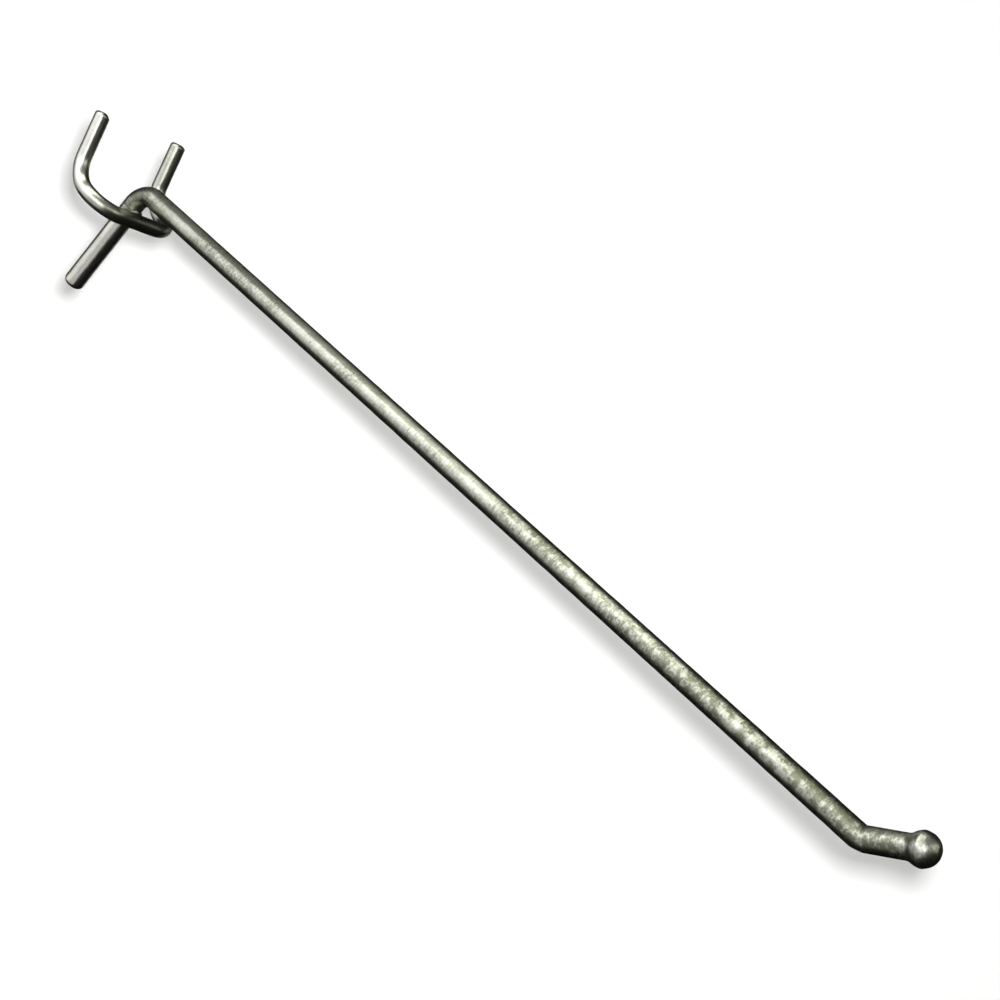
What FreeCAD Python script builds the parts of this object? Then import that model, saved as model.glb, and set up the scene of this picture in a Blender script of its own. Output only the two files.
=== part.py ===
import FreeCAD, Part
import math
import os

from FreeCAD import Vector

# Pegboard hook of two round steel wires, in millimetres.
# The board's front face is the plane y = 0, the board lies on the +y side, and the arm points to -y.
# The origin is midway between the two prongs, at the height of the holes they pass through.

ROD_D = 5.0                # wire of the arm and leg
PRONG_D = 3.8              # wire of the crossbar and prongs

PRONG_SPACING = 25.4       # hole pitch of the board
ARM_LENGTH = 238.0         # back bend corner to tip bend corner
ARM_TILT = 10.0            # rise of the arm above level, degrees
LEG_LENGTH = 30.0          # back bend corner to the leg's lower end
BACK_BEND_R = 5.0          # centre line of the bend between leg and arm
LEG_END_ROUND = 1.3        # rounding of the leg's lower end

TIP_ANGLE = 30.5           # upturn of the tip from the arm, degrees
TIP_LENGTH = 11.9          # tip bend corner to the middle of the ball
TIP_BEND_R = 3.6           # centre line of the tip bend
BALL_D = 6.9               # upset ball at the tip
NECK_R = 2.4               # hollow where the wire swells into the ball
BALL_NOSE_D = 1.8          # small flat left on the ball by the upsetting die

CROSSBAR_DROP = 6.4        # back bend corner down to the crossbar
CROSSBAR_CORNER_R = 7.0    # centre line, crossbar into the arms that go through the board
PRONG_BEND_R = 7.2         # centre line, through-board arm into prong
BEND_LAND = 0.16           # straight left between those two bends
PRONG_LEAN = 19.0          # prongs lean away from the board, degrees
PRONG_LENGTH = 16.0        # prong bend corner to the prong's end
PRONG_END_BREAK = 0.4      # broken edge of the sheared prong ends

WELD_SINK = 0.22           # depth the two wires are pressed into one another
WELD_FLASH_D = 3.5         # collar of metal squeezed out around the weld
WELD_FLASH_BULGE = 0.25    # swell of that collar

SAME_POINT = 1.0e-6        # two points closer than this are one


def polar(angle_deg):
    """Direction in the upright middle plane, measured up from straight out of the board."""
    a = math.radians(angle_deg)
    return Vector(0, -math.cos(a), math.sin(a))


def tangent_length(radius, turn_deg):
    """Distance from a bend's corner to the start of its arc."""
    return radius * math.tan(math.radians(turn_deg) / 2.0)


def bent_path(corners, radii):
    """Centre line through the corners, each inner corner rounded by its own bend radius."""
    edges = []
    start = corners[0]
    for i, radius in enumerate(radii):
        corner = corners[i + 1]
        back = (corners[i] - corner).normalize()
        ahead = (corners[i + 2] - corner).normalize()
        half = back.getAngle(ahead) / 2.0
        cut = radius / math.tan(half)
        first = corner + back * cut
        last = corner + ahead * cut
        bisector = (back + ahead).normalize()
        middle = corner + bisector * (radius / math.sin(half) - radius)
        edges.append(Part.makeLine(start, first))
        edges.append(Part.Arc(first, middle, last).toShape())
        start = last
    edges.append(Part.makeLine(start, corners[-1]))
    return Part.Wire(edges)


def round_wire(path, diameter):
    """Solid wire of round section swept along a centre line."""
    first = path.Edges[0]
    begin = first.valueAt(first.FirstParameter)
    along = first.tangentAt(first.FirstParameter)
    section = Part.Wire([Part.makeCircle(diameter / 2.0, begin, along)])
    return path.makePipeShell([section], True, True)


def end_ring(solid, end):
    """The edge of the wire's end face that is centred on the given point."""
    return [e for e in solid.Edges
            if isinstance(e.Curve, Part.Circle) and e.Curve.Center.distanceToPoint(end) < SAME_POINT]


def upset_ball(origin, axis):
    """Ball upset on the wire's end, with a hollow neck running into the wire.

    The profile is drawn in the plane of the axis: u along the axis from the ball's middle, v out from it.
    """
    wire_r = ROD_D / 2.0
    ball_r = BALL_D / 2.0
    nose_r = BALL_NOSE_D / 2.0
    neck_v = wire_r + NECK_R
    neck_u = -math.sqrt((ball_r + NECK_R) ** 2 - neck_v ** 2)
    meet = ball_r / (ball_r + NECK_R)
    join_u, join_v = neck_u * meet, neck_v * meet
    nose_u = math.sqrt(ball_r ** 2 - nose_r ** 2)
    side = Vector(1, 0, 0)

    def at(u, v):
        return origin + axis * u + side * v

    def on_neck(angle):
        return at(neck_u + NECK_R * math.cos(angle), neck_v + NECK_R * math.sin(angle))

    start_angle = -math.pi / 2.0
    end_angle = math.atan2(join_v - neck_v, join_u - neck_u)
    neck_arc = Part.Arc(at(neck_u, wire_r), on_neck((start_angle + end_angle) / 2.0), at(join_u, join_v))
    ball_arc = Part.Arc(at(join_u, join_v), at(0, ball_r), at(nose_u, nose_r))
    outline = Part.Wire([
        Part.makeLine(at(neck_u, 0), at(neck_u, wire_r)),
        neck_arc.toShape(),
        ball_arc.toShape(),
        Part.makeLine(at(nose_u, nose_r), at(nose_u, 0)),
        Part.makeLine(at(nose_u, 0), at(neck_u, 0)),
    ])
    return Part.Face(outline).revolve(origin, axis, 360), neck_u


def hook_rod():
    """Arm, leg and ball-ended tip bent from one wire."""
    leg_y = -ROD_D / 2.0
    corner = Vector(0, leg_y, CROSSBAR_DROP)
    leg_end = corner - Vector(0, 0, LEG_LENGTH)
    tip_corner = corner + polar(ARM_TILT) * ARM_LENGTH
    tip_axis = polar(ARM_TILT + TIP_ANGLE)
    ball_middle = tip_corner + tip_axis * TIP_LENGTH
    ball, neck_u = upset_ball(ball_middle, tip_axis)
    wire_end = ball_middle + tip_axis * neck_u
    path = bent_path([leg_end, corner, tip_corner, wire_end], [BACK_BEND_R, TIP_BEND_R])
    rod = round_wire(path, ROD_D)
    rod = rod.makeFillet(LEG_END_ROUND, end_ring(rod, leg_end))
    return rod.fuse(ball).removeSplitter().Solids[0]


def weld_flash(bar_y):
    """Barrel of squeezed-out metal between the crossbar and the leg, about the line through both."""
    leg_y = -ROD_D / 2.0
    r = WELD_FLASH_D / 2.0
    middle = (bar_y + leg_y) / 2.0
    outline = Part.Wire([
        Part.makeLine(Vector(0, bar_y, 0), Vector(r, bar_y, 0)),
        Part.Arc(Vector(r, bar_y, 0), Vector(r + WELD_FLASH_BULGE, middle, 0), Vector(r, leg_y, 0)).toShape(),
        Part.makeLine(Vector(r, leg_y, 0), Vector(0, leg_y, 0)),
        Part.makeLine(Vector(0, leg_y, 0), Vector(0, bar_y, 0)),
    ])
    return Part.Face(outline).revolve(Vector(0, 0, 0), Vector(0, 1, 0), 360)


def prong_wire(rod):
    """Crossbar with its two arms through the board and the prongs behind it, welded to the leg's front."""
    bar_y = -ROD_D - PRONG_D / 2.0 + WELD_SINK
    turn = 90.0 - PRONG_LEAN
    arm_back = CROSSBAR_CORNER_R + BEND_LAND + tangent_length(PRONG_BEND_R, turn)
    lean = math.radians(PRONG_LEAN)
    rise = Vector(0, math.sin(lean), math.cos(lean)) * PRONG_LENGTH
    half = PRONG_SPACING / 2.0

    def side(sign):
        bar_end = Vector(sign * half, bar_y, 0)
        elbow = bar_end + Vector(0, arm_back, 0)
        return [elbow + rise, elbow, bar_end]

    left, right = side(-1), side(1)
    corners = left + right[::-1]
    radii = [PRONG_BEND_R, CROSSBAR_CORNER_R, CROSSBAR_CORNER_R, PRONG_BEND_R]
    wire = round_wire(bent_path(corners, radii), PRONG_D)
    for tip in (left[0], right[0]):
        wire = wire.makeChamfer(PRONG_END_BREAK, end_ring(wire, tip))
    welded = wire.fuse(weld_flash(bar_y)).cut(rod)
    return max(welded.removeSplitter().Solids, key=lambda s: s.Volume)


def main():
    """Build both wires and write one file for each."""
    os.makedirs("parts", exist_ok=True)
    rod = hook_rod()
    nodes = {"hook_rod": rod, "prong_wire": prong_wire(rod)}
    for name, shape in nodes.items():
        print(name, "valid", shape.isValid(), "volume %.1f mm3" % shape.Volume)
        shape.exportStep("parts/%s.step" % name)


main()
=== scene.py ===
"""Looks of a steel pegboard hook.

The hook is a long rod, bent at the back and at the tip and upset to a ball, with a thinner wire of two
prongs welded across its leg. Both wires are made here as fine surfaces that stand for the CAD solids, and
dressed as bare drawn steel. Sizes are in millimetres, and a mesh is scaled to metres as it is written.
"""

import logging
import math
from dataclasses import dataclass
from enum import Enum

import bpy
import numpy as np
from mathutils import Matrix, Vector


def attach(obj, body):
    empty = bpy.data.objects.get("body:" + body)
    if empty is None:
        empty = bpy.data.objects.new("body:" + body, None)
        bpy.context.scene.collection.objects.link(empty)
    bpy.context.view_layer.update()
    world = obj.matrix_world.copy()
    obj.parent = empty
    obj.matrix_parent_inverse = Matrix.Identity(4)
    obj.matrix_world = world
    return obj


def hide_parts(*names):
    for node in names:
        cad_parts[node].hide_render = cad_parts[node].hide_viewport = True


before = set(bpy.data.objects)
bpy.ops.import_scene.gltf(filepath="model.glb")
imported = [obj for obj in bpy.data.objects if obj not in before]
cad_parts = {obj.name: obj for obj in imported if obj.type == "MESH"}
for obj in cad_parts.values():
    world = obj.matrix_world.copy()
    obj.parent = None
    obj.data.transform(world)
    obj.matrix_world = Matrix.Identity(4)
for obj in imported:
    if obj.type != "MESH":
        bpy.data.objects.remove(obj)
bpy.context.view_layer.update()        # the imported part's meshes, each set at the origin

MM = 0.001
BODY = "root"
WIRE_ATTRIBUTE = "wire_mm"
CREST = 2.0        # about the highest value of unevenness, taken off so that no wave stands proud

log = logging.getLogger("pegboard_hook")

Array = np.ndarray
Colour = tuple[float, float, float]

CORNERS = np.array([[-1, -1], [1, -1], [1, 1], [-1, 1]])        # of a square, counter-clockwise


class WireEnd(Enum):
    """How far the end of a wire was rubbed down on one side, in millimetres."""

    TUMBLED = 1.2
    SHEARED = 0.45


def unit(vector: Array) -> Array:
    """The vector scaled to length 1."""
    return vector / np.linalg.norm(vector)


def turned(vectors: Array, axis: Array, angles: Array) -> Array:
    """Vectors turned about an axis: v cos a + (k x v) sin a + k (k . v)(1 - cos a).

    Args:
        vectors: one vector, or one for each angle.
        axis: unit axis of the turn.
        angles: angles in radians.

    Returns:
        One turned vector for each angle.
    """
    cos = np.cos(angles)[:, None]
    sin = np.sin(angles)[:, None]
    along = (vectors @ axis)[..., None] * axis
    return vectors * cos + np.cross(axis, vectors) * sin + along * (1 - cos)


def unevenness(stations: Array, angles: Array, wavelength: float, seed: int) -> Array:
    """Smooth irregular field over a wire's surface, about -1 to 1.

    It is a sum of cosine waves, cos(k s + m a + p), with seeded wave numbers k along the wire, whole
    numbers m round it, so that it closes on itself, and phases p.

    Args:
        stations: distances along the wire, one for each ring.
        angles: angles round the wire, one for each point of a ring.
        wavelength: usual length of a wave along the wire.
        seed: number that fixes the waves.

    Returns:
        One value for each ring and angle.
    """
    waves = 14
    draw = np.random.default_rng(seed)
    k = draw.uniform(0.5, 1.6, waves) * 2 * np.pi / wavelength
    m = draw.integers(-4, 5, waves)
    p = draw.uniform(0, 2 * np.pi, waves)
    phase = k * stations[:, None, None] + m * angles[None, :, None] + p
    return np.cos(phase).sum(axis=2) / math.sqrt(waves)


@dataclass(frozen=True)
class Run:
    """One stretch of a wire's centre line, straight or bent to an arc."""

    start: Array
    heading: Array
    length: float
    axis: Array
    radius: float

    def point(self, local: Array) -> Array:
        """Points along the run: the start plus the straight, or plus the chord of the arc.

        Args:
            local: distances from the run's start.

        Returns:
            One point for each distance.
        """
        if math.isinf(self.radius):
            return self.start + local[:, None] * self.heading
        spoke = self.radius * np.cross(self.heading, self.axis)
        return self.start - spoke + turned(spoke, self.axis, local / self.radius)

    def carried(self, vector: Array, local: Array) -> Array:
        """A vector carried along the run, turned with the arc by distance over radius."""
        angles = np.zeros_like(local) if math.isinf(self.radius) else local / self.radius
        return turned(vector, self.axis, angles)


class WirePath:
    """Centre line of a bent wire: straight runs joined by tangent arcs at the corners."""

    def __init__(self, corners: Array, radii: list[float], side: Array) -> None:
        """Works out the runs.

        Args:
            corners: the ends and the sharp corners of the line, in order.
            radii: bend radius at each inner corner.
            side: direction across the wire at its first point.
        """
        self.side = side
        self.runs: list[Run] = []
        headings = [unit(b - a) for a, b in zip(corners[:-1], corners[1:])]
        cursor = corners[0]
        for corner, radius, into, out in zip(corners[1:-1], radii, headings[:-1], headings[1:]):
            turn = math.acos(float(into @ out))
            reach = radius * math.tan(turn / 2)
            axis = unit(np.cross(into, out))
            bend_start = corner - reach * into
            self.runs.append(Run(cursor, into, float(np.linalg.norm(bend_start - cursor)), axis, math.inf))
            self.runs.append(Run(bend_start, into, radius * turn, axis, radius))
            cursor = corner + reach * out
        last = float(np.linalg.norm(corners[-1] - cursor))
        self.runs.append(Run(cursor, headings[-1], last, unit(side), math.inf))
        self.starts = np.cumsum([0.0] + [run.length for run in self.runs])
        self.length = float(self.starts[-1])

    def carry(self, stations: Array) -> tuple[Array, Array, Array]:
        """Carries a frame along the line without twist.

        Args:
            stations: distances along the line. The end runs go on straight past the ends.

        Returns:
            Points, headings and side directions, one row for each station.
        """
        points = np.zeros((len(stations), 3))
        headings = np.zeros_like(points)
        sides = np.zeros_like(points)
        place = np.clip(np.searchsorted(self.starts, stations, side="right") - 1, 0, len(self.runs) - 1)
        side = self.side
        for number, run in enumerate(self.runs):
            here = place == number
            local = stations[here] - self.starts[number]
            points[here] = run.point(local)
            headings[here] = run.carried(run.heading, local)
            sides[here] = run.carried(side, local)
            side = run.carried(side, np.array([run.length]))[0]
        return points, headings, sides

    def bend_share(self, stations: Array) -> Array:
        """1 in the middle of each bend, falling as sin^2 to 0 at its ends, and 0 on the straights.

        Args:
            stations: distances along the line.

        Returns:
            One share for each station.
        """
        share = np.zeros_like(stations)
        for run, start in zip(self.runs, self.starts):
            if not math.isinf(run.radius):
                local = np.clip((stations - start) / run.length, 0, 1)
                share = np.maximum(share, np.sin(np.pi * local) ** 2)
        return share


@dataclass
class Sweep:
    """A closed surface: rings of points carried along a path, drawn in to a pole at each end."""

    path: WirePath
    stations: Array
    radii: Array
    angles: Array

    def rings(self, swell: Array, lift: Array) -> Array:
        """Points p(s) + (r + swell)(side cos a + up sin a) + lift heading, with up = heading x side.

        Args:
            swell: growth of the radius for each ring and angle.
            lift: shift along the wire for each ring and angle.

        Returns:
            An array of rings, angles and coordinates.
        """
        points, headings, _ = self.path.carry(self.stations)
        reach = (self.radii[:, None] + swell)[..., None]
        return points[:, None] + reach * self.outward() + lift[..., None] * headings[:, None]

    def outward(self) -> Array:
        """Unit directions away from the centre line, side cos a + up sin a.

        Returns:
            One direction for each ring and angle.
        """
        _, headings, sides = self.path.carry(self.stations)
        ups = np.cross(headings, sides)
        across = sides[:, None] * np.cos(self.angles)[None, :, None]
        return across + ups[:, None] * np.sin(self.angles)[None, :, None]

    def straightened(self) -> Array:
        """Coordinates as if the wire were straight: distance along it, then r cos a and r sin a.

        Returns:
            One row of coordinates for each ring and angle.
        """
        grid = np.ones((len(self.stations), len(self.angles)))
        along = self.stations[:, None] * grid
        across = self.radii[:, None] * np.cos(self.angles)
        upward = self.radii[:, None] * np.sin(self.angles)
        return np.stack([along, across, upward], axis=2)


def add_piece(name: str, points: Array, faces: list[list[int]], wire: Array) -> bpy.types.Object:
    """Makes a smooth mesh object at the origin from points in millimetres.

    Args:
        name: name of the piece.
        points: corner points, one row each.
        faces: corner numbers of each face, counter-clockwise from outside.
        wire: straightened coordinates of each point, kept as an attribute for the finish.

    Returns:
        The object, linked to the scene.
    """
    mesh = bpy.data.meshes.new(name)
    mesh.from_pydata((points * MM).tolist(), [], faces)
    mesh.polygons.foreach_set("use_smooth", np.ones(len(faces), bool))
    attribute = mesh.attributes.new(WIRE_ATTRIBUTE, "FLOAT_VECTOR", "POINT")
    attribute.data.foreach_set("vector", wire.astype(np.float32).ravel())
    mesh.update()
    piece = bpy.data.objects.new(name, mesh)
    bpy.context.scene.collection.objects.link(piece)
    return piece


def ring_quads(rings: int, count: int, closed: bool) -> Array:
    """Quads between neighbouring rings of points, each ring closed on itself.

    Args:
        rings: number of rings.
        count: points in a ring.
        closed: whether the last ring joins the first.

    Returns:
        One row of four corner numbers for each quad, counter-clockwise from outside.
    """
    row = np.arange(rings if closed else rings - 1)[:, None] * count
    after = (row + count) % (rings * count)
    here = np.arange(count)[None, :]
    ahead = (here + 1) % count
    return np.stack([row + here, row + ahead, after + ahead, after + here], axis=2).reshape(-1, 4)


def capped_piece(name: str, rings: Array, wire: Array) -> bpy.types.Object:
    """A tube with a pole at each end: quads between rings and a fan of triangles about each pole.

    Args:
        name: name of the piece.
        rings: points of each ring.
        wire: straightened coordinates of each point.

    Returns:
        The piece's object.
    """
    number, count, _ = rings.shape
    poles = rings[[0, -1]].mean(axis=1)
    pole_wire = wire[[0, -1]].mean(axis=1)
    first_pole = number * count
    here = np.arange(count)
    ahead = (here + 1) % count
    last_ring = (number - 1) * count
    first_fan = np.stack([np.full(count, first_pole), ahead, here], axis=1)
    last_fan = np.stack([np.full(count, first_pole + 1), last_ring + here, last_ring + ahead], axis=1)
    faces = ring_quads(number, count, closed=False).tolist() + first_fan.tolist() + last_fan.tolist()
    points = np.concatenate([rings.reshape(-1, 3), poles])
    return add_piece(name, points, faces, np.concatenate([wire.reshape(-1, 3), pole_wire]))


class NodeSheet:
    """A node tree being filled."""

    def __init__(self, tree: bpy.types.NodeTree) -> None:
        """Takes an empty tree to fill."""
        self.tree = tree

    def add(self, kind: str, inputs: dict, **settings: object) -> bpy.types.Node:
        """Adds a node.

        Args:
            kind: Blender's name of the node type.
            inputs: a value, or a socket to link from, for each input by name or number.
            settings: properties of the node.

        Returns:
            The node.
        """
        node = self.tree.nodes.new(kind)
        for key, value in settings.items():
            setattr(node, key, value)
        self.feed(node, inputs)
        return node

    def feed(self, node: bpy.types.Node, inputs: dict) -> None:
        """Sets or links inputs of a node.

        Args:
            node: the node.
            inputs: a value, or a socket to link from, for each input by name or number.
        """
        for key, value in inputs.items():
            if isinstance(value, bpy.types.NodeSocket):
                self.tree.links.new(value, node.inputs[key])
            else:
                node.inputs[key].default_value = value

    def noise(self, vector: bpy.types.NodeSocket, scale: object, detail: float, roughness: float) -> object:
        """Value of a fractal noise at a vector."""
        inputs = {"Vector": vector, "Scale": scale, "Detail": detail, "Roughness": roughness}
        return self.add("ShaderNodeTexNoise", inputs).outputs["Fac"]

    def spread(
        self, value: object, low: float, high: float, to_low: object = 0.0, to_high: object = 1.0
    ) -> object:
        """A value's stretch from low to high, spread smoothly over another range.

        Args:
            value: socket of the value.
            low: where the stretch begins.
            high: where the stretch ends.
            to_low: result at the low end and below it.
            to_high: result at the high end and above it.

        Returns:
            Socket of the result.
        """
        inputs = {"Value": value, "From Min": low, "From Max": high, "To Min": to_low, "To Max": to_high}
        node = self.add("ShaderNodeMapRange", inputs, interpolation_type="SMOOTHSTEP")
        return node.outputs["Result"]

    def stretched(self, vector: object, along: float, round_it: float) -> object:
        """Straightened coordinates scaled along the wire and across it."""
        scale = (along, round_it, round_it)
        return self.add("ShaderNodeVectorMath", {0: vector, 1: scale}, operation="MULTIPLY").outputs[0]

    def mix(self, factor: object, first: object, second: object) -> object:
        """Colour mixed from the first to the second by a factor."""
        inputs = {"Factor": factor, 6: first, 7: second}
        return self.add("ShaderNodeMix", inputs, data_type="RGBA").outputs[2]

    def math(self, operation: str, first: object, second: object) -> object:
        """Result of an operation on two values."""
        return self.add("ShaderNodeMath", {0: first, 1: second}, operation=operation).outputs[0]


class SharedGroup:
    """A node group with named sockets, built once and placed in each finish."""

    name = ""
    takes: dict[str, str] = {}
    gives: dict[str, str] = {}

    def tree(self) -> bpy.types.NodeTree:
        """Makes the group's tree on first use.

        Returns:
            The tree, with its sockets and nodes.
        """
        found = bpy.data.node_groups.get(self.name)
        if found:
            return found
        tree = bpy.data.node_groups.new(self.name, "ShaderNodeTree")
        for label, kind in self.takes.items():
            tree.interface.new_socket(label, in_out="INPUT", socket_type=kind)
        for label, kind in self.gives.items():
            tree.interface.new_socket(label, in_out="OUTPUT", socket_type=kind)
        sheet = NodeSheet(tree)
        results = self.fill(sheet, sheet.add("NodeGroupInput", {}).outputs)
        sheet.add("NodeGroupOutput", results)
        return tree

    def fill(self, sheet: NodeSheet, given: object) -> dict[str, object]:
        """Adds the group's nodes and returns the socket for each output."""
        raise NotImplementedError

    def place(self, sheet: NodeSheet, **inputs: object) -> object:
        """Puts the group into a finish.

        Args:
            sheet: the finish's node tree.
            inputs: a value or a socket for each input of the group, by name with _ for a space.

        Returns:
            The group's outputs.
        """
        node = sheet.add("ShaderNodeGroup", {}, node_tree=self.tree())
        sheet.feed(node, {key.replace("_", " "): value for key, value in inputs.items()})
        return node.outputs


class WireMarks(SharedGroup):
    """Marks that drawing, tumbling and handling leave on a wire, as values from 0 to 1."""

    name = "wire_marks"
    takes = {
        "Wire": "NodeSocketVector",
        "Blotch Scale": "NodeSocketFloat",
        "Streak Scale": "NodeSocketFloat",
        "Worn From": "NodeSocketFloat",
        "Worn To": "NodeSocketFloat",
    }
    gives = {
        "Worn": "NodeSocketFloat",
        "Blotch": "NodeSocketFloat",
        "Streak": "NodeSocketFloat",
        "Draw Line": "NodeSocketFloat",
        "Pit": "NodeSocketFloat",
        "Patch": "NodeSocketFloat",
        "Drift": "NodeSocketFloat",
    }
    rubbed_mm = (4.0, 7.0)        # past the worn stretch, where the patches thin out
    rubbed_patches = 0.35         # share of the patches that is left there

    def fill(self, sheet: NodeSheet, given: object) -> dict[str, object]:
        """Blotches are fine noise, streaks run across, draw lines along, pits are rare and patches broad.

        Past the worn stretch, on the ball, handling has rubbed the patches thin.

        Args:
            sheet: the group's tree.
            given: the group's inputs.

        Returns:
            The socket for each output.
        """
        wire = given["Wire"]
        blotch = sheet.noise(wire, given["Blotch Scale"], 4.0, 0.6)
        streak = sheet.noise(sheet.stretched(wire, 1.0, 0.2), given["Streak Scale"], 2.0, 0.6)
        draw_line = sheet.noise(sheet.stretched(wire, 0.03, 1.0), 2.6, 3.0, 0.6)
        pit = sheet.noise(wire, 1.3, 2.0, 0.5)
        patch = sheet.noise(sheet.stretched(wire, 0.7, 0.6), 0.6, 7.0, 0.72)
        drift = sheet.noise(sheet.stretched(wire, 0.05, 0.12), 1.0, 2.0, 0.5)
        along = sheet.add("ShaderNodeSeparateXYZ", {"Vector": wire}).outputs["X"]
        past = sheet.math("SUBTRACT", along, given["Worn To"])
        unrubbed = sheet.spread(past, *self.rubbed_mm, 1.0, self.rubbed_patches)
        return {
            "Worn": sheet.spread(along, given["Worn From"], given["Worn To"]),
            "Blotch": sheet.spread(blotch, 0.33, 0.67),
            "Streak": sheet.spread(streak, 0.3, 0.7),
            "Draw Line": sheet.spread(draw_line, 0.35, 0.65),
            "Pit": sheet.spread(pit, 0.68, 0.76),
            "Patch": sheet.math("MULTIPLY", sheet.spread(patch, 0.4, 0.62), unrubbed),
            "Drift": sheet.spread(drift, 0.35, 0.65),
        }


class SteelTint(SharedGroup):
    """Colour of bare steel: polished where unused, else bright to dull by its marks, with stained pits."""

    name = "steel_tint"
    takes = {
        "Polished": "NodeSocketColor",
        "Bright": "NodeSocketColor",
        "Dull": "NodeSocketColor",
        "Stain": "NodeSocketColor",
        "Blotch": "NodeSocketFloat",
        "Streak": "NodeSocketFloat",
        "Pit": "NodeSocketFloat",
        "Patch": "NodeSocketFloat",
        "Drift": "NodeSocketFloat",
        "Worn": "NodeSocketFloat",
    }
    gives = {"Color": "NodeSocketColor", "Wear": "NodeSocketFloat"}
    used_from = (0.014, 0.028)    # worn values between which the polish goes
    drift_weight = (0.2, 0.5)     # weight of blotch plus streak, by the drift
    used_weight = (0.3, 1.0)      # share of that weight on polished and on used steel
    patched_from = (0.4, 1.0)     # worn values between which the patches come
    patch_weight = (0.1, 0.8)     # weight of the patches, from unworn to worn

    def fill(self, sheet: NodeSheet, given: object) -> dict[str, object]:
        """Wear is blotch plus streak, weighed by the slow drift along the wire, plus patches where worn.

        Args:
            sheet: the group's tree.
            given: the group's inputs.

        Returns:
            The socket for each output.
        """
        both = sheet.math("ADD", given["Blotch"], given["Streak"])
        weight = sheet.spread(given["Drift"], 0.0, 1.0, *self.drift_weight)
        used = sheet.spread(given["Worn"], *self.used_from)
        weight = sheet.math("MULTIPLY", weight, sheet.spread(used, 0.0, 1.0, *self.used_weight))
        patches = sheet.spread(given["Worn"], *self.patched_from, *self.patch_weight)
        patches = sheet.math("MULTIPLY", given["Patch"], patches)
        wear = sheet.math("ADD", sheet.math("MULTIPLY", both, weight), patches)
        metal = sheet.mix(wear, sheet.mix(used, given["Polished"], given["Bright"]), given["Dull"])
        stained = sheet.mix(given["Pit"], metal, given["Stain"])
        return {"Color": stained, "Wear": wear}


@dataclass(frozen=True)
class SteelFinish:
    """Bare drawn steel: its colours from polished to stained, its roughness and the depth of its marks."""

    name: str
    polished: Colour
    bright: Colour
    dull: Colour
    stain: Colour
    edge_tint: Colour
    roughness: tuple[float, float]
    blotch_scale: float
    streak_scale: float
    worn_mm: tuple[float, float]
    blotch_relief: float
    line_relief: float
    pit_depth: float
    unworn_relief: float = 0.4

    def material(self) -> bpy.types.Material:
        """Makes the finish's material on first use.

        Returns:
            The material.
        """
        found = bpy.data.materials.get(self.name)
        if found:
            return found
        material = bpy.data.materials.new(self.name)
        material.use_nodes = True
        material.node_tree.nodes.clear()
        sheet = NodeSheet(material.node_tree)
        wire = sheet.add("ShaderNodeAttribute", {}, attribute_name=WIRE_ATTRIBUTE).outputs["Vector"]
        marks = WireMarks().place(
            sheet,
            Wire=wire,
            Blotch_Scale=self.blotch_scale,
            Streak_Scale=self.streak_scale,
            Worn_From=self.worn_mm[0],
            Worn_To=self.worn_mm[1],
        )
        tint = SteelTint().place(
            sheet,
            Polished=(*self.polished, 1.0),
            Bright=(*self.bright, 1.0),
            Dull=(*self.dull, 1.0),
            Stain=(*self.stain, 1.0),
            Blotch=marks["Blotch"],
            Streak=marks["Streak"],
            Pit=marks["Pit"],
            Patch=marks["Patch"],
            Drift=marks["Drift"],
            Worn=marks["Worn"],
        )
        roughness = sheet.spread(tint["Wear"], 0.0, 1.0, *self.roughness)
        relief = (self.unworn_relief * self.blotch_relief, self.blotch_relief)
        depth = sheet.spread(marks["Worn"], *SteelTint.patched_from, *relief)
        height = sheet.math("MULTIPLY", marks["Blotch"], depth)
        lines = sheet.math("MULTIPLY", marks["Draw Line"], self.line_relief)
        pits = sheet.math("MULTIPLY", marks["Pit"], self.pit_depth)
        height = sheet.math("SUBTRACT", sheet.math("ADD", height, lines), pits)
        bump = sheet.add("ShaderNodeBump", {"Strength": 1.0, "Distance": MM, "Height": height})
        shader = sheet.add(
            "ShaderNodeBsdfPrincipled",
            {
                "Base Color": tint["Color"],
                "Roughness": roughness,
                "Metallic": 1.0,
                "Specular Tint": (*self.edge_tint, 1.0),
                "Normal": bump.outputs["Normal"],
            },
        )
        sheet.add("ShaderNodeOutputMaterial", {"Surface": shader.outputs["BSDF"]})
        return material


ROD_STEEL = SteelFinish(
    name="drawn_rod_steel",
    polished=(0.86, 0.86, 0.8),
    bright=(0.6, 0.618, 0.55),
    dull=(0.19, 0.199, 0.15),
    stain=(0.16, 0.155, 0.115),
    edge_tint=(0.02, 0.02, 0.015),
    roughness=(0.28, 0.36),
    blotch_scale=1.9,
    streak_scale=3.0,
    worn_mm=(0.0, 270.0),
    blotch_relief=0.022,
    line_relief=0.002,
    pit_depth=0.03,
)
PRONG_STEEL = SteelFinish(
    name="drawn_wire_steel",
    polished=(0.7, 0.705, 0.665),
    bright=(0.575, 0.588, 0.53),
    dull=(0.42, 0.425, 0.35),
    stain=(0.2, 0.195, 0.15),
    edge_tint=(0.02, 0.02, 0.015),
    roughness=(0.28, 0.36),
    blotch_scale=0.9,
    streak_scale=2.4,
    worn_mm=(-20.0, 500.0),
    blotch_relief=0.012,
    line_relief=0.0015,
    pit_depth=0.015,
)
WELD_STEEL = SteelFinish(
    name="weld_flash_steel",
    polished=(0.34, 0.33, 0.29),
    bright=(0.3, 0.29, 0.25),
    dull=(0.12, 0.115, 0.1),
    stain=(0.05, 0.045, 0.04),
    edge_tint=(0.02, 0.02, 0.015),
    roughness=(0.3, 0.5),
    blotch_scale=1.6,
    streak_scale=2.0,
    worn_mm=(-20.0, 40.0),
    blotch_relief=0.03,
    line_relief=0.0,
    pit_depth=0.02,
)


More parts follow.
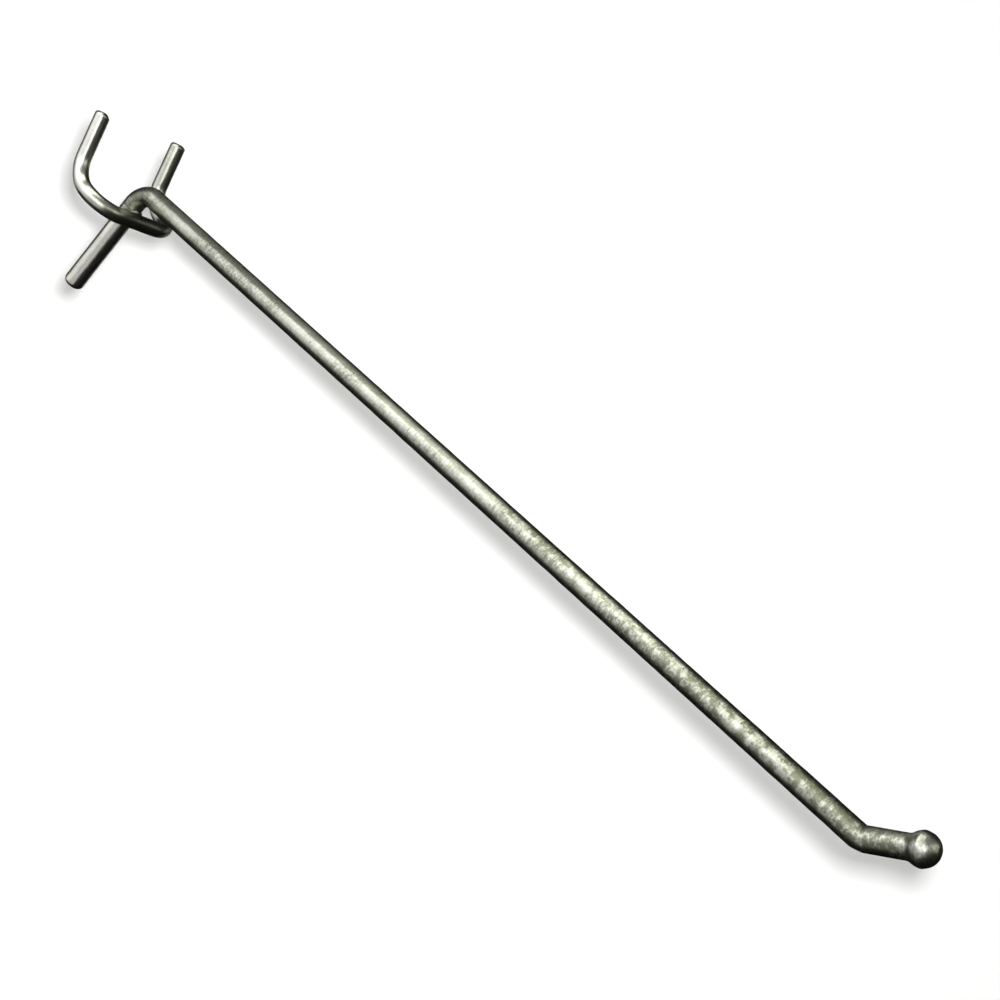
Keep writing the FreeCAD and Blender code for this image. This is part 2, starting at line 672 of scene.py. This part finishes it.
def around(count: int) -> Array:
    """Angles evenly round a circle, in radians."""
    return np.arange(count) * (2 * np.pi / count)


def rounded_end(radius: float, rounding: float, rings: int) -> tuple[Array, Array]:
    """Profile of a rounded wire end, from its pole outwards: a flat, then a quarter circle.

    Args:
        radius: radius of the wire.
        rounding: radius of the rounded edge.
        rings: rings in the flat and in the rounding, each.

    Returns:
        Distances in from the end face, and radii.
    """
    flat = np.linspace(0, radius - rounding, rings, endpoint=False)[1:]
    quarter = np.linspace(0, np.pi / 2, rings * 2)
    inward = np.concatenate([np.zeros_like(flat), rounding * (1 - np.cos(quarter))])
    outward = np.concatenate([flat, radius - rounding + rounding * np.sin(quarter)])
    return inward, outward


@dataclass
class HookRod:
    """The long rod: a leg that lies on the board, the hanging arm, and a turned-up tip with a ball."""

    diameter: float = 5.0
    leg_length: float = 30.0
    arm_length: float = 238.0
    arm_tilt: float = math.radians(10.0)
    tip_angle: float = math.radians(30.5)
    tip_length: float = 11.9
    back_bend_r: float = 5.0
    tip_bend_r: float = 3.6
    crossbar_drop: float = 6.4
    end_round: float = 1.3
    ball_diameter: float = 6.9
    ball_ridge: float = 0.1
    ridge_width: float = 0.45
    nose_diameter: float = 1.8
    neck_r: float = 2.4
    ring_step: float = 0.4
    ring_points: int = 64
    end_rings: int = 6
    neck_rings: int = 14
    ball_rings: int = 44
    nose_rings: int = 5
    bend_flatten: float = 0.05
    waviness: float = 0.012
    wave_mm: float = 9.0
    wave_seed: int = 11

    @property
    def radius(self) -> float:
        """Half the diameter."""
        return self.diameter / 2

    def path(self) -> WirePath:
        """Centre line midway between the prongs, from the leg's end up, out along the arm and to the ball.

        Returns:
            The rod's path.
        """
        leg_end = np.array([0.0, -self.radius, self.crossbar_drop - self.leg_length])
        back_corner = np.array([0.0, -self.radius, self.crossbar_drop])
        arm = np.array([0.0, -math.cos(self.arm_tilt), math.sin(self.arm_tilt)])
        rise = self.arm_tilt + self.tip_angle
        tip = np.array([0.0, -math.cos(rise), math.sin(rise)])
        tip_corner = back_corner + self.arm_length * arm
        ball = tip_corner + self.tip_length * tip
        corners = np.array([leg_end, back_corner, tip_corner, ball])
        return WirePath(corners, [self.back_bend_r, self.tip_bend_r], side=np.array([1.0, 0.0, 0.0]))

    def ball_profile(self) -> tuple[Array, Array]:
        """Profile of the hollow neck, the ball and its flat nose.

        The neck is an arc that is tangent to the wire and to the ball. The ball is a sphere with a low
        ridge round its middle, r = sqrt(R^2 - u^2) + ridge exp(-(u / width)^2).

        Returns:
            Distances from the ball's middle along the wire, and radii.
        """
        ball_r = self.ball_diameter / 2 - self.ball_ridge
        neck_level = self.radius + self.neck_r
        neck_start = -math.sqrt((ball_r + self.neck_r) ** 2 - neck_level ** 2)
        join_angle = math.atan2(-neck_start, neck_level)
        swing = np.linspace(0, join_angle, self.neck_rings)
        neck_u = neck_start + self.neck_r * np.sin(swing)
        neck_v = neck_level - self.neck_r * np.cos(swing)
        nose_angle = math.asin(self.nose_diameter / 2 / ball_r)
        polar = np.linspace(np.pi / 2 + join_angle, nose_angle, self.ball_rings)[1:]
        ball_u = ball_r * np.cos(polar)
        ball_v = ball_r * np.sin(polar) + self.ball_ridge * np.exp(-((ball_u / self.ridge_width) ** 2))
        nose_v = np.linspace(self.nose_diameter / 2, 0, self.nose_rings)[1:-1]
        nose_u = np.full_like(nose_v, ball_u[-1])
        return np.concatenate([neck_u, ball_u, nose_u]), np.concatenate([neck_v, ball_v, nose_v])

    def build(self) -> bpy.types.Object:
        """The rod as one closed surface, with bends flattened a little and a faint waviness all along.

        Returns:
            The piece's object.
        """
        path = self.path()
        end_in, end_out = rounded_end(self.radius, self.end_round, self.end_rings)
        ball_u, ball_v = self.ball_profile()
        straight_end = path.length + ball_u[0]
        steps = int((straight_end - end_in[-1]) / self.ring_step)
        middle = np.linspace(end_in[-1], straight_end, steps)[1:-1]
        stations = np.concatenate([end_in, middle, path.length + ball_u])
        radii = np.concatenate([end_out, np.full_like(middle, self.radius), ball_v])
        sweep = Sweep(path, stations, radii, around(self.ring_points))
        flatten = self.bend_flatten * path.bend_share(stations)[:, None] * np.sin(sweep.angles) ** 2
        waves = unevenness(stations, sweep.angles, self.wave_mm, self.wave_seed) - CREST
        share = (radii / self.radius).clip(0, 1)[:, None]
        swell = share * (self.waviness * waves - self.radius * flatten)
        rings = sweep.rings(swell, np.zeros_like(swell))
        piece = capped_piece("hook_rod_surface", rings, sweep.straightened())
        self.dress(piece)
        return piece

    def dress(self, piece: bpy.types.Object) -> None:
        """Gives the piece its finish, hangs it on the body and hides the CAD part that it stands for.

        Args:
            piece: the object to dress.
        """
        piece.data.materials.append(ROD_STEEL.material())
        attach(piece, BODY)
        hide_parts("hook_rod")


@dataclass
class ProngWire:
    """The thinner wire: a crossbar in front of the leg, and a prong at each end bent back and up."""

    rod: HookRod
    diameter: float = 3.8
    spacing: float = 25.4
    weld_sink: float = 0.22
    corner_r: float = 7.0
    prong_bend_r: float = 7.2
    bend_land: float = 0.16
    lean: float = math.radians(19.0)
    prong_length: float = 16.0
    end_round: float = 0.7
    ends: tuple[WireEnd, WireEnd] = (WireEnd.TUMBLED, WireEnd.SHEARED)
    rubbed_side: tuple[float, float, float] = (0.62, -0.62, 0.48)
    rub_fade: float = 0.7
    ring_step: float = 0.28
    ring_points: int = 56
    end_rings: int = 5
    waviness: float = 0.008
    wave_mm: float = 7.0
    wave_seed: int = 23

    @property
    def radius(self) -> float:
        """Half the diameter."""
        return self.diameter / 2

    @property
    def crossbar_y(self) -> float:
        """Depth of the crossbar's axis, sunk a little into the leg by the weld."""
        return -self.rod.diameter - self.radius + self.weld_sink

    def path(self) -> WirePath:
        """Centre line from the left prong's end, down, across the leg and up to the right prong's end.

        Returns:
            The wire's path.
        """
        turn = np.pi / 2 - self.lean
        elbow_y = self.crossbar_y + self.corner_r + self.bend_land + self.prong_bend_r * math.tan(turn / 2)
        prong = np.array([0.0, math.sin(self.lean), math.cos(self.lean)])
        half = self.spacing / 2
        corners = []
        for x in (-half, half):
            elbow = np.array([x, elbow_y, 0.0])
            corner = np.array([x, self.crossbar_y, 0.0])
            corners.append([elbow + self.prong_length * prong, elbow, corner])
        left, right = corners
        line = np.array(left + right[::-1])
        radii = [self.prong_bend_r, self.corner_r, self.corner_r, self.prong_bend_r]
        return WirePath(line, radii, side=np.array([1.0, 0.0, 0.0]))

    def seated(self, rings: Array) -> Array:
        """Keeps points in front of the leg: y at most -R - sqrt(R^2 - x^2) where they lie behind its face.

        Args:
            rings: points of the wire.

        Returns:
            The points, moved forward where they lay in the leg.
        """
        leg_r = self.rod.radius
        x, y = rings[..., 0], rings[..., 1]
        face = -leg_r - np.sqrt(np.clip(leg_r ** 2 - x ** 2, 0, None))
        near = (np.abs(x) < leg_r) & (y < -leg_r)
        seated = rings.copy()
        seated[..., 1] = np.where(near, np.minimum(y, face), y)
        return seated

    def rubbing(self, sweep: Sweep) -> Array:
        """Shift along the wire that rubs each end down on one side.

        It is depth (r / R)^2 w^2 exp(-distance from the end / fade), with w the share of the outward
        direction that lies on the rubbed side. It goes forward at the first end and back at the last.

        Args:
            sweep: the wire's surface before it is rubbed.

        Returns:
            One shift for each ring and angle.
        """
        facing = np.clip(sweep.outward() @ unit(np.array(self.rubbed_side)), 0, 1)
        share = facing ** 2 * ((sweep.radii / self.radius) ** 2)[:, None]
        first = self.ends[0].value * np.exp(-sweep.stations / self.rub_fade)
        last = self.ends[1].value * np.exp((sweep.stations - sweep.path.length) / self.rub_fade)
        return share * (first - last)[:, None]

    def build(self) -> bpy.types.Object:
        """The wire as one closed surface with rubbed ends, hollow where it is seated on the leg.

        Returns:
            The piece's object.
        """
        path = self.path()
        end_in, end_out = rounded_end(self.radius, self.end_round, self.end_rings)
        steps = int((path.length - 2 * end_in[-1]) / self.ring_step)
        middle = np.linspace(end_in[-1], path.length - end_in[-1], steps)[1:-1]
        stations = np.concatenate([end_in, middle, path.length - end_in[::-1]])
        radii = np.concatenate([end_out, np.full_like(middle, self.radius), end_out[::-1]])
        sweep = Sweep(path, stations, radii, around(self.ring_points))
        waves = unevenness(stations, sweep.angles, self.wave_mm, self.wave_seed) - CREST
        share = (radii / self.radius)[:, None]
        swell = share * self.waviness * waves
        rings = self.seated(sweep.rings(swell, self.rubbing(sweep)))
        piece = capped_piece("prong_wire_surface", rings, sweep.straightened())
        self.dress(piece)
        return piece

    def dress(self, piece: bpy.types.Object) -> None:
        """Gives the piece its finish, hangs it on the body and hides the CAD part that it stands for.

        Args:
            piece: the object to dress.
        """
        piece.data.materials.append(PRONG_STEEL.material())
        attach(piece, BODY)
        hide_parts("prong_wire")


@dataclass
class WeldBead:
    """The metal squeezed out round the weld, a lumpy ring in the wedge between the crossbar and the leg."""

    rod: HookRod
    prongs: ProngWire
    reach: float = 1.75
    thickness: float = 0.5
    lump: float = 0.13
    ring_points: int = 28
    rings: int = 120

    def build(self) -> bpy.types.Object:
        """A closed ring about the line between the two axes.

        The middle of its section lies halfway between the crossbar's back and the leg's front, and its
        thickness is t (1 + lumps), a sum of cosines of the angle round the weld.

        Returns:
            The piece's object.
        """
        swing = around(self.rings)
        angles = around(self.ring_points)
        lumps = np.cos(3 * swing + 0.7) + 0.6 * np.cos(5 * swing + 2.1) + 0.4 * np.cos(8 * swing + 4.0)
        thick = self.thickness * (1 + self.lump * lumps)
        reach = self.reach * (1 + 0.05 * np.cos(2 * swing + 1.0) + 0.03 * np.cos(7 * swing))
        x = reach[:, None] + thick[:, None] * np.cos(angles)
        across = x * np.cos(swing)[:, None]
        upward = x * np.sin(swing)[:, None]
        middle_x = reach * np.cos(swing)
        middle_z = reach * np.sin(swing)
        bar_back = self.prongs.crossbar_y + np.sqrt(np.clip(self.prongs.radius ** 2 - middle_z ** 2, 0, None))
        leg_front = -self.rod.radius - np.sqrt(np.clip(self.rod.radius ** 2 - middle_x ** 2, 0, None))
        depth = (bar_back + leg_front)[:, None] / 2 - thick[:, None] * np.sin(angles)
        rings = np.stack([across, depth, upward], axis=2)
        wire = np.stack([swing[:, None] * reach[:, None] + 0 * x, x, depth], axis=2)
        faces = ring_quads(self.rings, self.ring_points, closed=True).tolist()
        piece = add_piece("weld_bead", rings.reshape(-1, 3), faces, wire.reshape(-1, 3))
        self.dress(piece)
        return piece

    def dress(self, piece: bpy.types.Object) -> None:
        """Gives the piece its finish and says what it rides on.

        Args:
            piece: the object to dress.
        """
        piece.data.materials.append(WELD_STEEL.material())
        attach(piece, BODY)


@dataclass
class Viewpoint:
    """The camera, where the photograph was taken from."""

    azimuth: float = math.radians(-57.815)
    elevation: float = math.radians(18.059)
    roll: float = math.radians(42.127)
    aim: tuple[float, float, float] = (6.86, -129.52, 28.81)
    distance: float = 451.86
    lens_mm: float = 78.89
    sensor_mm: float = 36.0
    nearest_m: float = 0.01

    def axes(self) -> tuple[Array, Array, Array]:
        """Axes of the picture.

        Returns:
            Directions to the right and up in the picture, and back from the object to the camera.
        """
        flat = math.cos(self.elevation)
        back = np.array(
            [math.sin(self.azimuth) * flat, -math.cos(self.azimuth) * flat, math.sin(self.elevation)]
        )
        level = unit(np.cross([0.0, 0.0, 1.0], back))
        upright = np.cross(back, level)
        right = math.cos(self.roll) * level + math.sin(self.roll) * upright
        up = math.cos(self.roll) * upright - math.sin(self.roll) * level
        return right, up, back

    def eye(self) -> Array:
        """Place of the camera, in millimetres."""
        return np.array(self.aim) + self.distance * self.axes()[2]

    def corner_rays(self, margin: float) -> Array:
        """Directions through the picture's corners, counter-clockwise.

        Args:
            margin: how much wider than the picture they reach.

        Returns:
            One direction for each corner.
        """
        right, up, back = self.axes()
        half = self.sensor_mm / 2 / self.lens_mm * margin
        return -back + half * (CORNERS[:, :1] * right + CORNERS[:, 1:] * up)

    def build(self) -> bpy.types.Object:
        """Makes the scene's camera.

        Returns:
            The camera's object.
        """
        data = bpy.data.cameras.new("viewpoint")
        data.lens = self.lens_mm
        data.sensor_width = self.sensor_mm
        data.clip_start = self.nearest_m
        camera = bpy.data.objects.new("viewpoint", data)
        right, up, back = self.axes()
        turn = Matrix([right, up, back]).transposed().to_4x4()
        camera.matrix_world = Matrix.Translation(Vector(self.eye() * MM)) @ turn
        bpy.context.scene.collection.objects.link(camera)
        bpy.context.scene.camera = camera
        return camera


@dataclass(frozen=True)
class SoftLamp:
    """A soft box: its middle, the point that it faces, the run of its width, its size and its brightness."""

    name: str
    place: tuple[float, float, float]
    aim: tuple[float, float, float]
    across: tuple[float, float, float]
    size: tuple[float, float]
    radiance: float
    tint: Colour = (1.0, 1.0, 1.0)

    def build(self) -> bpy.types.Object:
        """An area lamp that the camera doesn't see. Its power is radiance times pi times area.

        Returns:
            The lamp's object.
        """
        data = bpy.data.lights.new(self.name, "AREA")
        data.shape = "RECTANGLE"
        data.size, data.size_y = self.size
        data.energy = self.radiance * math.pi * self.size[0] * self.size[1]
        data.color = self.tint
        back = unit(np.array(self.place) - np.array(self.aim))
        upward = unit(np.cross(back, self.across))
        turn = Matrix([np.cross(upward, back), upward, back]).transposed().to_4x4()
        lamp = bpy.data.objects.new(self.name, data)
        lamp.matrix_world = Matrix.Translation(Vector(self.place)) @ turn
        lamp.visible_camera = False
        bpy.context.scene.collection.objects.link(lamp)
        return lamp


WARM = (1.0, 0.99, 0.86)
SIDE_RUN = (0.42, 0.89, -0.28)
TOP_RUN = (0.918, 0.016, 0.398)
SOFT_LAMPS = (
    SoftLamp("side_box", (-0.696, 0.173, 0.221), (-0.049, -0.143, 0.151), SIDE_RUN, (0.97, 0.62), 1.34),
    SoftLamp("skirt_box", (-0.611, 0.355, -0.326), (0.036, 0.039, -0.396), SIDE_RUN, (0.72, 0.36), 0.42),
    SoftLamp("rear_box", (-0.55, 0.55, 0.43), (0.0, -0.045, 0.02), (0.7, 0.7, 0.0), (0.22, 0.2), 1.5),
    SoftLamp("front_box", (-0.61, -0.45, 0.33), (0.0, -0.2, 0.04), (0.4, -0.9, 0.0), (0.5, 0.5), 2.5),
    SoftLamp("fill_box", (-0.454, -0.649, -0.11), (0.0, 0.0, 0.0), (0.82, -0.57, 0.0), (0.92, 0.5), 0.15),
    SoftLamp("top_box", (-0.299, 0.162, 0.386), (-0.129, -0.148, 0.006), TOP_RUN, (0.72, 0.22), 2.4, WARM),
    SoftLamp("nose_box", (0.02, -0.5, 0.42), (0.0, -0.25, 0.05), (1.0, 0.0, 0.0), (0.5, 0.26), 0.8, WARM),
    SoftLamp("right_box", (0.9, 0.05, 0.2), (0.0, 0.05, 0.0), (0.0, 1.0, 0.0), (0.6, 0.3), 0.3),
)


@dataclass(frozen=True)
class BlackFlag:
    """A black cloth hung beside the hook, which only its reflections show."""

    name: str
    place: tuple[float, float, float]
    across: tuple[float, float, float]
    upward: tuple[float, float, float]
    black: Colour = (0.012, 0.012, 0.011)

    def build(self) -> bpy.types.Object:
        """A flat cloth about its place, reaching to both sides by the vectors across and upward.

        Returns:
            The cloth's object.
        """
        reach = CORNERS[:, :1] * np.array(self.across) + CORNERS[:, 1:] * np.array(self.upward)
        corners = np.array(self.place) + reach
        mesh = bpy.data.meshes.new(self.name)
        mesh.from_pydata(corners.tolist(), [], [[0, 1, 2, 3]])
        mesh.materials.append(self.cloth())
        flag = bpy.data.objects.new(self.name, mesh)
        flag.visible_camera = False
        flag.visible_shadow = False
        flag.visible_diffuse = False
        bpy.context.scene.collection.objects.link(flag)
        return flag

    def cloth(self) -> bpy.types.Material:
        """Makes the dull black cloth.

        Returns:
            The material.
        """
        material = bpy.data.materials.new(self.name)
        material.use_nodes = True
        surface = material.node_tree.nodes["Principled BSDF"].inputs
        surface["Base Color"].default_value = (*self.black, 1.0)
        surface["Roughness"].default_value = 1.0
        surface["Specular IOR Level"].default_value = 0.0
        return material


BLACK_FLAGS = (
    BlackFlag("front_flag", (0.5, -0.6, -0.35), (0.95, 0.0, 0.0), (0.0, 0.0, 0.8)),
    BlackFlag("right_flag", (0.95, 0.3, -0.15), (0.0, 0.9, 0.0), (0.0, 0.0, 1.0)),
    BlackFlag("low_flag", (0.26, -0.1, -0.6), (0.7, 0.0, 0.0), (0.0, 0.7, 0.0)),
    BlackFlag("back_flag", (-0.12, 0.95, 0.0), (0.3, 0.0, 0.0), (0.0, 0.0, 0.55)),
    BlackFlag("top_flag", (0.68, 0.3, 0.72), (0.35, 0.0, -0.35), (0.0, 0.6, 0.0)),
)


@dataclass
class Studio:
    """A white card behind the hook, a pale floor, soft lamps, black cloths and a lamp for the shadow."""

    viewpoint: Viewpoint
    card_gap: float = 900.0
    card_margin: float = 1.1
    card_glow: float = 0.18
    card_white: float = 0.8
    room: Colour = (0.2, 0.2, 0.19)
    floor_level: float = -0.8
    floor_glow: float = 0.36
    floor_radii: tuple[float, float] = (6.0, 9.0)
    floor_rise: float = 4.0
    floor_rings: int = 24
    floor_spokes: int = 72
    shadow_shift: tuple[float, float] = (3.4, 4.0)
    shadow_lamp_mm: float = 6.5
    shadow_radiance: float = 100000.0

    def build(self) -> None:
        """Sets the view settings and the room, and adds the floor, the card, the lamps and the cloths."""
        scene = bpy.context.scene
        scene.view_settings.view_transform = "Standard"
        world = bpy.data.worlds.new("room")
        scene.world = world
        world.use_nodes = True
        world.node_tree.nodes["Background"].inputs["Color"].default_value = (*self.room, 1.0)
        self.floor()
        card = self.card()
        for thing in SOFT_LAMPS + BLACK_FLAGS:
            thing.build()
        self.shadow_lamp(card)

    def floor(self) -> bpy.types.Object:
        """A round pale floor, below what the photograph's view takes in, with a rim that no view sees over.

        It is flat inside the first radius, and rises from there as the square of the way to the second.

        Returns:
            The floor's object.
        """
        inner, outer = self.floor_radii
        rings, count = self.floor_rings, self.floor_spokes
        radii = np.linspace(inner, outer, rings)
        height = self.floor_level + self.floor_rise * ((radii - inner) / (outer - inner)) ** 2
        spokes = around(count)
        round_about = np.stack([np.cos(spokes), np.sin(spokes)], axis=1)
        level = radii[:, None, None] * round_about
        points = np.concatenate([level, np.broadcast_to(height[:, None, None], (rings, count, 1))], axis=2)
        mesh = bpy.data.meshes.new("floor")
        faces = [list(range(count))] + ring_quads(rings, count, closed=False)[:, ::-1].tolist()
        mesh.from_pydata(points.reshape(-1, 3).tolist(), [], faces)
        mesh.materials.append(self.paper("pale_floor", self.floor_glow))
        mesh.shade_smooth()
        floor = bpy.data.objects.new("floor", mesh)
        bpy.context.scene.collection.objects.link(floor)
        return floor

    def card(self) -> bpy.types.Object:
        """A card square to the view that just fills the picture, well behind the hook.

        Returns:
            The card's object.
        """
        reach = self.viewpoint.distance + self.card_gap
        corners = self.viewpoint.eye() + reach * self.viewpoint.corner_rays(self.card_margin)
        mesh = bpy.data.meshes.new("card")
        mesh.from_pydata((corners * MM).tolist(), [], [[0, 1, 2, 3]])
        mesh.materials.append(self.paper("white_card", self.card_glow))
        card = bpy.data.objects.new("card", mesh)
        bpy.context.scene.collection.objects.link(card)
        return card

    def paper(self, name: str, brightness: float) -> bpy.types.Material:
        """White paper, seen by camera and mirror rays with a glow of its own, and clear from behind.

        Args:
            name: name of the material.
            brightness: strength of the glow.

        Returns:
            The material.
        """
        material = bpy.data.materials.new(name)
        material.use_nodes = True
        material.node_tree.nodes.clear()
        sheet = NodeSheet(material.node_tree)
        light_path = sheet.add("ShaderNodeLightPath", {}).outputs
        seen = sheet.math("MAXIMUM", light_path["Is Camera Ray"], light_path["Is Glossy Ray"])
        seen = sheet.math("MAXIMUM", seen, light_path["Is Transmission Ray"])
        strength = sheet.math("MULTIPLY", seen, brightness)
        glow = sheet.add("ShaderNodeEmission", {"Color": (1.0, 1.0, 1.0, 1.0), "Strength": strength})
        white = (self.card_white,) * 3
        paper = sheet.add("ShaderNodeBsdfDiffuse", {"Color": (*white, 1.0)})
        front = sheet.add("ShaderNodeAddShader", {0: glow.outputs[0], 1: paper.outputs[0]})
        clear = sheet.add("ShaderNodeBsdfTransparent", {})
        behind = sheet.add("ShaderNodeNewGeometry", {}).outputs["Backfacing"]
        both = sheet.add("ShaderNodeMixShader", {0: behind, 1: front.outputs[0], 2: clear.outputs[0]})
        sheet.add("ShaderNodeOutputMaterial", {"Surface": both.outputs[0]})
        return material

    def shadow_lamp(self, card: bpy.types.Object) -> None:
        """A small lamp beside the camera that lights only the card, so the hook's soft shadow falls on it.

        Args:
            card: the card's object.
        """
        right, up, _ = self.viewpoint.axes()
        place = self.viewpoint.eye() + self.shadow_shift[0] * right + self.shadow_shift[1] * up
        aim = np.array(self.viewpoint.aim)
        lamp = SoftLamp(
            name="shadow_lamp",
            place=tuple(place * MM),
            aim=tuple(aim * MM),
            across=tuple(right),
            size=(self.shadow_lamp_mm * MM,) * 2,
            radiance=self.shadow_radiance,
        )
        lit = bpy.data.collections.new("lit_by_shadow_lamp")
        lit.objects.link(card)
        lamp.build().light_linking.receiver_collection = lit


def main() -> None:
    """Builds the pieces in order, then the camera and the studio."""
    logging.basicConfig(level=logging.INFO, format="%(name)s: %(message)s")
    rod = HookRod()
    prongs = ProngWire(rod)
    for maker in (rod, prongs, WeldBead(rod, prongs)):
        piece = maker.build()
        log.info("%s: %d points, %d faces", piece.name, len(piece.data.vertices), len(piece.data.polygons))
    viewpoint = Viewpoint()
    viewpoint.build()
    Studio(viewpoint).build()


if __name__ == "__main__":
    main()
